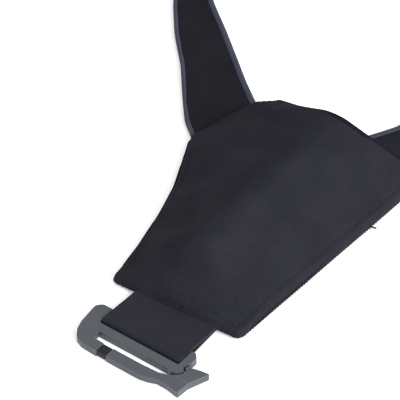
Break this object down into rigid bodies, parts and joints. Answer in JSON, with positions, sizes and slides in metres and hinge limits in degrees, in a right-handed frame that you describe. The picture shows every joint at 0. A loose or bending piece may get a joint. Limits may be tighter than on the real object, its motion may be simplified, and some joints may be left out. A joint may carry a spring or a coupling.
{
  "type": "avalanche transceiver",
  "caption": "Avalanche transceiver in a harness: fabric pouch, tapered shoulder strap, belt with a wide gated hook buckle, webbing adjusters and leash ring.",
  "frame": {"origin": "on the wearer's side of the back panel, below the middle of the stowed transceiver", "axes": "+X along the belt away from the buckle, +Y towards the shoulder strap, +Z away from the wearer"},
  "size_m": [0.4956, 0.243, 0.0279],
  "materials": {
    "pouch_fabric": "fine knit",
    "binding": "folded tape",
    "spacer_mesh": "open knit",
    "webbing": "woven",
    "buckle_plastic": "moulded",
    "flexure": "matt",
    "steel": "satin",
    "case_front": "fine texture",
    "case_back": "fine texture",
    "rubber": "matt",
    "window": "clear",
    "display": "reflective display",
    "control": "matt",
    "board": "solder mask",
    "chip": "moulded",
    "ferrite": "sintered",
    "copper": "enamelled wire",
    "cell": "printed sleeve"
  },
  "bodies": {
    "harness": {"back_panel": "spacer_mesh", "pouch_front": "pouch_fabric", "mouth_binding": "binding", "shoulder_strap": "pouch_fabric", "strap_binding_left": "binding", "strap_binding_right": "binding", "belt_wing": "spacer_mesh", "wing_binding": "binding", "buckle_webbing": "webbing", "belt_webbing": "webbing", "shoulder_webbing": "webbing", "back_yoke": "pouch_fabric", "yoke_ring": "buckle_plastic", "yoke_tab": "webbing", "leash_loop": "webbing"},
    "device": {"case_front": "case_front", "case_back": "case_back", "case_seal": "rubber", "case_screw_1": "steel", "case_screw_2": "steel", "case_screw_3": "steel", "case_screw_4": "steel", "cell_1": "cell", "cell_2": "cell", "cell_3": "cell", "contact_strip_left": "steel", "contact_strip_right": "steel", "battery_hatch": "case_back", "hatch_screw": "steel", "display_window": "window", "display_module": "display", "key_membrane": "rubber", "main_board": "board", "processor_chip": "chip", "radio_chip": "chip", "speaker": "steel", "antenna_core_x": "ferrite", "antenna_coil_x": "copper", "antenna_core_y": "ferrite", "antenna_coil_y": "copper", "antenna_core_z": "ferrite", "antenna_coil_z": "copper", "vibration_motor": "steel", "leash_lug": "steel", "status_light": "window", "side_grip_near": "rubber", "side_grip_far": "rubber"},
    "motor_weight": {"motor_weight": "steel"},
    "select_button": {"select_button": "control"},
    "search_button": {"search_button": "control"},
    "mode_switch": {"mode_switch": "control"},
    "buckle": {"buckle_frame": "buckle_plastic", "gate_flexure": "flexure"},
    "gate": {"buckle_gate": "buckle_plastic"},
    "belt_adjuster": {"belt_adjuster": "buckle_plastic"},
    "strap_adjuster": {"strap_adjuster": "buckle_plastic"},
    "leash_ring": {"leash_ring": "steel"}
  },
  "joints": [
    {"name": "device_slide", "type": "slide", "parent": "harness", "child": "device", "axis": [1, 0, 0], "range_m": [0, 0.125]},
    {"name": "buckle_swivel", "type": "hinge", "parent": "harness", "child": "buckle", "pos_m": [-0.109, 0, 0.0027], "axis": [0, 1, 0], "range_deg": [0, 100]},
    {"name": "gate_flex", "type": "hinge", "parent": "buckle", "child": "gate", "pos_m": [-0.12755, 0.0078, 0.0021], "axis": [-1, 0, 0], "range_deg": [0, 8], "stiffness_Nm_per_rad": 0.6},
    {"name": "belt_adjuster_slide", "type": "slide", "parent": "harness", "child": "belt_adjuster", "axis": [1, 0, 0], "range_m": [-0.025, 0.02]},
    {"name": "strap_adjuster_slide", "type": "slide", "parent": "harness", "child": "strap_adjuster", "axis": [0, 1, 0], "range_m": [-0.03, 0.015]},
    {"name": "leash_ring_swing", "type": "hinge", "parent": "harness", "child": "leash_ring", "pos_m": [0.2, -0.004, 0.0029], "axis": [1, 0, 0], "range_deg": [0, 150]},
    {"name": "weight_spin", "type": "hinge", "parent": "device", "child": "motor_weight", "pos_m": [-0.0347, -0.01465, 0.0087], "axis": [1, 0, 0], "continuous": true},
    {"name": "select_press", "type": "slide", "parent": "device", "child": "select_button", "axis": [0, 0.4472, -0.8944], "range_m": [0, 0.0006], "stiffness_N_per_m": 900, "springref_m": -0.0003},
    {"name": "search_press", "type": "slide", "parent": "device", "child": "search_button", "axis": [0, 0.4472, -0.8944], "range_m": [0, 0.0006], "stiffness_N_per_m": 900, "springref_m": -0.0003},
    {"name": "mode_slide", "type": "slide", "parent": "device", "child": "mode_switch", "axis": [1, 0, 0], "range_m": [0, 0.008]}
  ]
}
